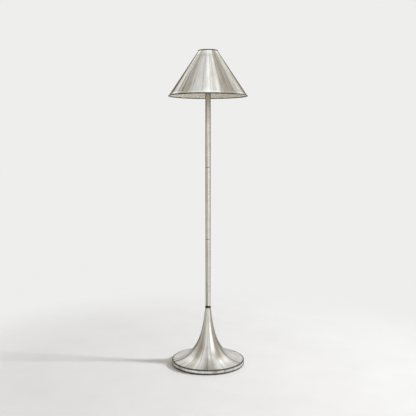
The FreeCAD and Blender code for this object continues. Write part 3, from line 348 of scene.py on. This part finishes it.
def bronze_finish():
    """Turned brass darkened in an oil bath: near black, with copper where hands reach its two edges."""
    edge_in = 0.4 * MM
    edge_reach = 0.5

    material, tree, where = new_finish("oil_rubbed_bronze_collar")
    height = add(tree, "SeparateXYZ", (where,), out="Z")
    cloud = add(tree, "TexNoise", {"Vector": where, "Scale": 1 / (5 * MM), "Detail": 4.0, "Roughness": 0.6})
    oxide = add(tree, "ValToRGB", (cloud,), stops=((0.3, "#17130D"), (0.7, "#33291B")))
    worn = lines_at(tree, height, (COLLAR_TOP - edge_in, edge_reach), (NECK + edge_in, edge_reach))
    patchy = add(tree, "Math", (worn, cloud), operation="MULTIPLY")
    end_finish(tree, turned_rings(tree, where, pitch_mm=0.5, waver=0.6), depth_mm=0.01,
               base_color=add(tree, "Mix", (patchy, oxide, "#7A5A38"), data_type="RGBA"),
               metallic=1.0, roughness=add(tree, "MapRange", (cloud, 0.3, 0.7, 0.46, 0.32)))
    return material


def felt_finish():
    """Pressed wool felt: charcoal, with 0.4 mm tufts lying every way and a faint bloom at a low angle."""
    stir = 4 * MM

    material, tree, where = new_finish("pressed_wool_felt")
    swirl = add(tree, "TexNoise", {"Vector": where, "Scale": 1 / (3 * MM), "Detail": 2.0, "Roughness": 0.5},
                out="Color")
    stirred = add(tree, "VectorMath", (swirl, (stir, stir, stir), where), operation="MULTIPLY_ADD")
    tufts = add(tree, "TexNoise",
                {"Vector": stirred, "Scale": 1 / (0.4 * MM), "Detail": 4.0, "Roughness": 0.8})
    wool = add(tree, "ValToRGB", (tufts,), stops=((0.3, "#232321"), (0.5, "#33332F"), (0.75, "#54534C")))
    end_finish(tree, tufts, depth_mm=0.25, base_color=wool, roughness=0.95, sheen_weight=0.35,
               sheen_roughness=0.5)
    return material


def plated_steel_finish(name, grain_mm, light, dark):
    """Steel plated with zinc or nickel: grey, cloudy from the bath, with fine scratches and a soft shine."""
    material, tree, where = new_finish(name)
    cloud = add(tree, "TexNoise", {"Vector": where, "Scale": 1 / (9 * MM), "Detail": 4.0, "Roughness": 0.6})
    drawn_out = add(tree, "VectorMath", (where, (1, 0.06, 1)), operation="MULTIPLY")
    grain = add(tree, "TexNoise",
                {"Vector": drawn_out, "Scale": 1 / (grain_mm * MM), "Detail": 3.0, "Roughness": 0.6})
    bath = add(tree, "ValToRGB", (cloud,), stops=((0.35, dark), (0.65, light)))
    scored = add(tree, "MapRange", (grain, 0.35, 0.55, 0.30, 0.0))
    end_finish(tree, grain, depth_mm=0.01,
               base_color=add(tree, "Mix", (scored, bath, dark), data_type="RGBA"),
               metallic=1.0, roughness=add(tree, "MapRange", (cloud, 0.3, 0.7, 0.42, 0.30)))
    return material


def brass_finish():
    """Drawn brass sheet, lacquered long ago: warm yellow, with draw marks, and brown where lacquer failed."""
    material, tree, where = new_finish("lacquered_drawn_brass")
    draw_marks = strokes(tree, where, count=160, length_mm=30)
    sheet = add(tree, "ValToRGB", (draw_marks,), stops=((0.3, "#AE8C4A"), (0.7, "#D3B572")))
    spots = add(tree, "TexNoise", {"Vector": where, "Scale": 1 / (6 * MM), "Detail": 5.0, "Roughness": 0.65})
    failed = add(tree, "MapRange", (spots, 0.58, 0.70, 0.0, 0.7))
    end_finish(tree, draw_marks, depth_mm=0.008,
               base_color=add(tree, "Mix", (failed, sheet, "#6E4F26"), data_type="RGBA"),
               metallic=1.0, roughness=add(tree, "MapRange", (spots, 0.55, 0.72, 0.24, 0.45)))
    return material


def phenolic_finish():
    """Moulded phenolic: brown-black, with faint flow swirls and a dry, slightly uneven gloss."""
    material, tree, where = new_finish("moulded_black_phenolic")
    flow = add(tree, "TexNoise",
               {"Vector": where, "Scale": 1 / (4 * MM), "Detail": 3.0, "Roughness": 0.6, "Distortion": 1.5})
    resin = add(tree, "ValToRGB", (flow,), stops=((0.3, "#0F0D0C"), (0.55, "#1D1917"), (0.75, "#2C2521")))
    dust = add(tree, "TexNoise", {"Vector": where, "Scale": 1 / (0.5 * MM), "Detail": 2.0, "Roughness": 0.5})
    end_finish(tree, dust, depth_mm=0.01, base_color=resin,
               roughness=add(tree, "MapRange", (flow, 0.3, 0.7, 0.30, 0.50)))
    return material


def fibre_finish():
    """Vulcanised fibre tube: brown card, with the plies' lines round it and darker soaked patches."""
    material, tree, where = new_finish("vulcanised_fibre_sleeve")
    pressed = add(tree, "VectorMath", (where, (1, 1, 14)), operation="MULTIPLY")
    plies = add(tree, "TexNoise", {"Vector": pressed, "Scale": 1 / (6 * MM), "Detail": 3.0, "Roughness": 0.6})
    card = add(tree, "ValToRGB", (plies,), stops=((0.3, "#6A5235"), (0.7, "#8C7350")))
    soaked = add(tree, "TexNoise", {"Vector": where, "Scale": 1 / (8 * MM), "Detail": 3.0, "Roughness": 0.5})
    patch = add(tree, "MapRange", (soaked, 0.5, 0.7, 0.0, 0.5))
    end_finish(tree, plies, depth_mm=0.04,
               base_color=add(tree, "Mix", (patch, card, "#4E3B25"), data_type="RGBA"), roughness=0.8)
    return material


def opal_finish():
    """Blown bulb glass, frosted inside: milky white, thinner and clearer in patches, under a smooth gloss."""
    material, tree, where = new_finish("frosted_opal_glass")
    powder = add(tree, "TexNoise", {"Vector": where, "Scale": 1 / (14 * MM), "Detail": 4.0, "Roughness": 0.6})
    milk = add(tree, "ValToRGB", (powder,), stops=((0.3, "#ECE9E1"), (0.7, "#F7F5F0")))
    ripple = add(tree, "TexNoise", {"Vector": where, "Scale": 1 / (25 * MM), "Detail": 1.0, "Roughness": 0.5})
    end_finish(tree, ripple, depth_mm=0.05, base_color=milk,
               roughness=add(tree, "MapRange", (powder, 0.3, 0.7, 0.22, 0.34)),
               ior=1.52, transmission_weight=0.08, coat_weight=0.3, coat_roughness=0.05)
    return material


def clear_glass_finish():
    """Pressed stem glass: clear with a green tinge and a slow ripple from the press."""
    material, tree, where = new_finish("pressed_clear_glass")
    ripple = add(tree, "TexNoise", {"Vector": where, "Scale": 1 / (3 * MM), "Detail": 2.0, "Roughness": 0.5})
    end_finish(tree, ripple, depth_mm=0.1,
               base_color=add(tree, "ValToRGB", (ripple,), stops=((0.3, "#DCE8E2"), (0.7, "#F0F5F2"))),
               roughness=add(tree, "MapRange", (ripple, 0.3, 0.7, 0.02, 0.06)),
               ior=1.52, transmission_weight=0.9)
    return material


def black_glass_finish():
    """Black glass poured into the bulb's cap: glossy, with a purple cast in its thin swirls."""
    material, tree, where = new_finish("poured_black_glass")
    swirl = add(tree, "TexNoise",
                {"Vector": where, "Scale": 1 / (4 * MM), "Detail": 2.0, "Roughness": 0.5, "Distortion": 2.0})
    end_finish(tree, swirl, depth_mm=0.05,
               base_color=add(tree, "ValToRGB", (swirl,), stops=((0.35, "#07070A"), (0.7, "#1A1420"))),
               roughness=add(tree, "MapRange", (swirl, 0.3, 0.7, 0.06, 0.14)), ior=1.52)
    return material


def aluminium_finish():
    """Aluminium sheet rolled into the bulb's thread: pale and darker clouds under fine marks round it."""
    material, tree, where = new_finish("rolled_aluminium_cap")
    cloud = add(tree, "TexNoise", {"Vector": where, "Scale": 1 / (3 * MM), "Detail": 4.0, "Roughness": 0.6})
    end_finish(tree, turned_rings(tree, where, pitch_mm=0.45, waver=1.5), depth_mm=0.008,
               base_color=add(tree, "ValToRGB", (cloud,), stops=((0.3, "#A7A8A8"), (0.7, "#D2D3D3"))),
               metallic=1.0, roughness=add(tree, "MapRange", (cloud, 0.3, 0.7, 0.38, 0.24)))
    return material


def solder_finish():
    """A drop of tin solder: dull grey, lumpy, with a frosted skin."""
    material, tree, where = new_finish("tin_solder_tip")
    lumps = add(tree, "TexNoise", {"Vector": where, "Scale": 1 / (1.8 * MM), "Detail": 3.0, "Roughness": 0.6})
    end_finish(tree, lumps, depth_mm=0.15,
               base_color=add(tree, "ValToRGB", (lumps,), stops=((0.3, "#7F8182"), (0.7, "#B0B1B1"))),
               metallic=1.0, roughness=add(tree, "MapRange", (lumps, 0.3, 0.7, 0.55, 0.35)))
    return material


def tungsten_finish():
    """Coiled tungsten wire: dark grey, under a skin of soot.

    Its coils are drawn 0.5 mm apart, ten times coarser than real, so that they show.
    """
    material, tree, where = new_finish("coiled_tungsten_wire")
    coil = add(tree, "TexWave", {"Vector": where, "Scale": wave_scale(0.5)}, out="Fac", bands_direction="X")
    soot = add(tree, "TexNoise", {"Vector": where, "Scale": 1 / (2 * MM), "Detail": 3.0, "Roughness": 0.6})
    end_finish(tree, coil, depth_mm=0.12,
               base_color=add(tree, "ValToRGB", (soot,), stops=((0.3, "#3B3A3A"), (0.7, "#6A6866"))),
               metallic=1.0, roughness=add(tree, "MapRange", (soot, 0.3, 0.7, 0.55, 0.38)))
    return material


def dress_lamp():
    """Every CAD node keeps its shape and gets the finish of the real piece."""
    wear(shade_finish(), "shade_shell")
    wear(pole_finish(), "pole_lower", "pole_middle", "pole_upper", "pole_cap")
    wear(cover_finish(), "flared_cover")
    wear(casting_finish(), "base_casting")
    wear(bronze_finish(), "neck_collar")
    wear(felt_finish(), "felt_ring")
    wear(plated_steel_finish("zinc_plated_sheet", 0.7, "#C3C6C8", "#989B9C"), "bottom_plate")
    wear(plated_steel_finish("zinc_plated_fasteners", 0.35, "#CDCFCF", "#9B9C9A"),
         "plate_screws", "hub_washer", "lock_washer", "hub_nut", "cap_screw")
    wear(plated_steel_finish("threaded_steel_pipe", 0.3, "#B9B8B3", "#85837C"),
         "tie_rod", "lower_joint_nipple", "upper_joint_nipple", "socket_nipple",
         "lower_foot_plug", "lower_head_plug", "middle_foot_plug", "middle_head_plug",
         "upper_foot_plug", "upper_head_plug", "shade_lower_wire", "shade_upper_wire")
    wear(plated_steel_finish("nickel_plated_strip", 0.5, "#CFCCC4", "#A09C91"),
         "fitter_ring", "fitter_arm_1", "fitter_arm_2", "fitter_arm_3")
    wear(brass_finish(), "socket_cap", "socket_shell", "retaining_ring", "screw_shell",
         "centre_contact", "terminal_screws", "switch_key", "switch_shaft")
    wear(phenolic_finish(), "cord_bushing", "socket_interior", "switch_cam")
    wear(fibre_finish(), "insulating_sleeve")
    wear(opal_finish(), "bulb_glass")
    wear(clear_glass_finish(), "bulb_stem")
    wear(black_glass_finish(), "bulb_insulator")
    wear(aluminium_finish(), "bulb_cap")
    wear(solder_finish(), "bulb_tip")
    wear(tungsten_finish(), "bulb_filament")


# ---------------------------------------------------------------- floor, lights and camera

def seen_directly(tree):
    """1 where the camera, a reflection or glass sees a surface, 0 where only soft light reaches it."""
    by_camera = add(tree, "LightPath", out="Is Camera Ray")
    in_gloss = add(tree, "LightPath", out="Is Glossy Ray")
    through_glass = add(tree, "LightPath", out="Is Transmission Ray")
    first = add(tree, "Math", (by_camera, in_gloss), operation="MAXIMUM")
    return add(tree, "Math", (first, through_glass), operation="MAXIMUM")


def backdrop_colour(tree, flagged):
    """The plain backdrop, with the grey where it is flagged and seen in a reflection."""
    mirrored = add(tree, "Math", (flagged, add(tree, "LightPath", out="Is Glossy Ray")), operation="MULTIPLY")
    return add(tree, "Mix", (mirrored, BACKDROP, FLAG), data_type="RGBA")


def paper_finish():
    """Matt pale paper that takes the lamp's shadow, and turns into the plain backdrop with distance.

    Reflections show it grey far out at each side, low down. Each range is in metres, from where
    a change sets in to where it is complete.
    """
    plain_far_off = (0.75, 1.7)
    grey_to_side = (2.2, 3.0)
    no_grey_above = (1.6, 2.4)

    material, tree, where = new_finish("pale_paper")
    fibres = add(tree, "TexNoise",
                 {"Vector": where, "Scale": 1 / (300 * MM), "Detail": 5.0, "Roughness": 0.6})
    colour = add(tree, "ValToRGB", (fibres,), stops=((0.3, "#ECEDEE"), (0.7, "#F1F2F3")))
    paper = add(tree, "BsdfPrincipled", {"Base Color": colour, "Roughness": 0.9, "Specular IOR Level": 0.1})

    aside = add(tree, "Math", (add(tree, "SeparateXYZ", (where,), out="X"),), operation="ABSOLUTE")
    to_side = add(tree, "MapRange", (aside, *grey_to_side), interpolation_type="SMOOTHSTEP")
    height = add(tree, "SeparateXYZ", (where,), out="Z")
    low = add(tree, "MapRange", (height, *no_grey_above, 1.0, 0.0))
    flagged = add(tree, "Math", (to_side, low), operation="MULTIPLY")
    backdrop = add(tree, "Emission", (backdrop_colour(tree, flagged), 1.0))

    distance = add(tree, "VectorMath", (where,), operation="LENGTH")
    far = add(tree, "MapRange", (distance, *plain_far_off), interpolation_type="SMOOTHSTEP")
    share = add(tree, "Math", (far, seen_directly(tree)), operation="MULTIPLY")
    add(tree, "OutputMaterial", (add(tree, "MixShader", (share, paper, backdrop)),))
    return material


def paper_sweep():
    """Pale paper that lies on the floor and curves up into a wall behind the lamp, in metres."""
    half_width = 7.0
    front = -7.0
    back = 3.2
    bend = 1.6
    top = 5.5
    steps = 16

    line = [(front, 0.0)]
    for step in range(steps + 1):
        turn = TURN / 4 * step / steps
        line.append((back - bend + bend * math.sin(turn), bend - bend * math.cos(turn)))
    line.append((back, top))
    points = [(side * half_width, y, z) for y, z in line for side in (-1, 1)]
    faces = [(2 * k, 2 * k + 1, 2 * k + 3, 2 * k + 2) for k in range(len(line) - 1)]
    mesh = bpy.data.meshes.new("paper_sweep")
    mesh.from_pydata(points, [], faces)
    mesh.shade_smooth()
    mesh.materials.append(paper_finish())
    sweep = bpy.data.objects.new("paper_sweep", mesh)
    SCENE.collection.objects.link(sweep)


def soft_room():
    """The room round the lamp: it looks like the backdrop and gives a soft warm light.

    Reflections show a grey stretch at each side of it, which gives the metal its dark bands. The
    grey starts further out near the horizon, a little nearer on the right, and ends behind the
    lamp. Each range is in parts of a direction of length 1, from where a change sets in to where
    it is complete.
    """
    grey_to_side = (0.42, 0.54)
    nearer_on_right = 0.06
    above_horizon = (0.15, 0.32)
    further_out = 0.38
    no_grey_behind = (0.20, 0.50)

    world = bpy.data.worlds.new("soft_room")
    SCENE.world = world
    world.use_nodes = True
    tree = world.node_tree
    tree.nodes.clear()
    way = add(tree, "TexCoord", out="Generated")
    off_axis = add(tree, "Math", (add(tree, "SeparateXYZ", (way,), out="X"), nearer_on_right))
    aside = add(tree, "Math", (off_axis,), operation="ABSOLUTE")
    rise = add(tree, "SeparateXYZ", (way,), out="Z")
    near_horizon = add(tree, "MapRange", (rise, *above_horizon, further_out, 0.0))
    narrowed = add(tree, "Math", (aside, near_horizon), operation="SUBTRACT")
    to_side = add(tree, "MapRange", (narrowed, *grey_to_side), interpolation_type="SMOOTHSTEP")
    backward = add(tree, "SeparateXYZ", (way,), out="Y")
    not_behind = add(tree, "MapRange", (backward, *no_grey_behind, 1.0, 0.0),
                     interpolation_type="SMOOTHSTEP")
    flagged = add(tree, "Math", (to_side, not_behind), operation="MULTIPLY")
    seen = add(tree, "Background", (backdrop_colour(tree, flagged), 1.0))
    glow = add(tree, "Background", ("#FFF3DE", 0.29))
    add(tree, "OutputWorld", (add(tree, "MixShader", (seen_directly(tree), glow, seen)),))


def softbox(name, spot, aim, width, height, watts, in_gloss=True, colour="#FFFFFF"):
    """A soft light of a size in metres, at a spot and aimed at a point. Only reflections may show it."""
    data = bpy.data.lights.new(name, "AREA")
    data.shape = "RECTANGLE"
    data.size = width
    data.size_y = height
    data.energy = watts
    data.color = linear(colour)[:3]
    lamp = bpy.data.objects.new(name, data)
    lamp.location = spot
    lamp.rotation_euler = (Vector(aim) - Vector(spot)).to_track_quat("-Z", "Y").to_euler()
    lamp.visible_glossy = in_gloss
    lamp.visible_camera = False
    SCENE.collection.objects.link(lamp)


def studio_lights():
    """One far light throws the shadow, and the nearer ones draw bright strips in the plate."""
    softbox("side_key", (9.6, -0.9, 6.5), (0, 0, 0.1), 1.4, 1.2, watts=1060, in_gloss=False, colour="#F8FAFF")
    softbox("front_strip", (1.95, -1.7, 1.6), (0, 0, 0.9), 1.7, 2.6, watts=16)
    softbox("high_box", (0.35, -0.75, 3.1), (0, 0, 1.42), 1.1, 0.9, watts=1.3)
    softbox("left_edge_box", (-1.95, 2.2, 3.4), (0, 0, 1.3), 1.2, 2.4, watts=9)
    softbox("right_edge_box", (1.95, 2.2, 3.4), (0, 0, 1.3), 1.2, 2.4, watts=9)


def front_camera():
    """A camera in front of the lamp, at the place, tilt and lens that were fitted to its outline."""
    away = 3.162
    up = 1.089
    tilt_down = 5.71
    data = bpy.data.cameras.new("front")
    data.sensor_width = 36.0
    data.lens = 56.67
    camera = bpy.data.objects.new("front", data)
    camera.location = (0, -away, up)
    camera.rotation_euler = (math.radians(90 - tilt_down), 0, 0)
    SCENE.collection.objects.link(camera)
    SCENE.camera = camera


dress_lamp()
paper_sweep()
soft_room()
studio_lights()
front_camera()
